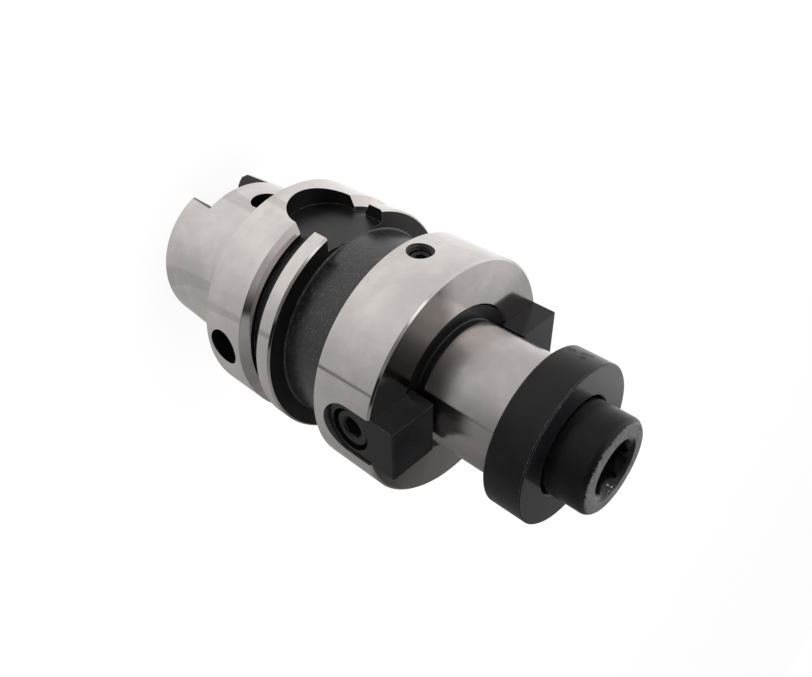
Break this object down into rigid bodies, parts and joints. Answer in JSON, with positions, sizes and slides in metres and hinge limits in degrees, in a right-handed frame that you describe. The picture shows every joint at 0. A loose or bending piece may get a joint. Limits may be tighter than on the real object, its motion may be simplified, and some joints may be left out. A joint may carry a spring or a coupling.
{
  "type": "shell mill holder",
  "caption": "Shell mill holder: hollow taper shank with grooved flange, pilot spigot, drive keys, clamp washer, retaining screw and coolant tube.",
  "frame": {"origin": "on the rotation axis, in the plane of the flange face that meets the spindle", "axes": "+Z along the rotation axis towards the cutter, +X through one drive key and the chip hole, -Y through the wide orientation notch; the holder stands on the open end of its shank"},
  "size_m": [0.063, 0.063, 0.1364],
  "materials": {
    "ground_steel": "case-hardened steel, ground on taper, flange, collar and spigot, black oxide in grooves, notches, holes and on the neck",
    "black_steel": "satin black oxide",
    "bright_steel": "turned steel",
    "seal_rubber": "black nitrile rubber"
  },
  "bodies": {
    "holder": {"holder_body": "ground_steel", "drive_key_right": "black_steel", "drive_key_left": "black_steel", "key_screw_right": "black_steel", "key_screw_left": "black_steel", "plug_screw_front": "black_steel", "plug_screw_back": "black_steel", "tube_nut": "bright_steel"},
    "washer": {"clamp_washer": "black_steel"},
    "screw": {"retaining_screw": "black_steel"},
    "tube_tilt": {"tube_o_ring_front": "seal_rubber"},
    "tube": {"coolant_tube": "bright_steel", "tube_o_ring_rear": "seal_rubber"}
  },
  "joints": [
    {"name": "washer_slide", "type": "slide", "parent": "holder", "child": "washer", "axis": [0, 0, 1], "range_m": [0, 0.036]},
    {"name": "screw_turn", "type": "hinge", "parent": "washer", "child": "screw", "pos_m": [0, 0, 0.0884], "axis": [0, 0, 1], "range_deg": [0, 6480]},
    {"name": "tube_tilt_x", "type": "hinge", "parent": "holder", "child": "tube_tilt", "pos_m": [0, 0, 0.00795], "axis": [1, 0, 0], "range_deg": [-1, 1]},
    {"name": "tube_tilt_y", "type": "hinge", "parent": "tube_tilt", "child": "tube", "pos_m": [0, 0, 0.00795], "axis": [0, 1, 0], "range_deg": [-1, 1]}
  ],
  "couplings": [
    {"joint": "screw_turn", "follows": "washer_slide", "rad_per_m": 3141.6}
  ]
}
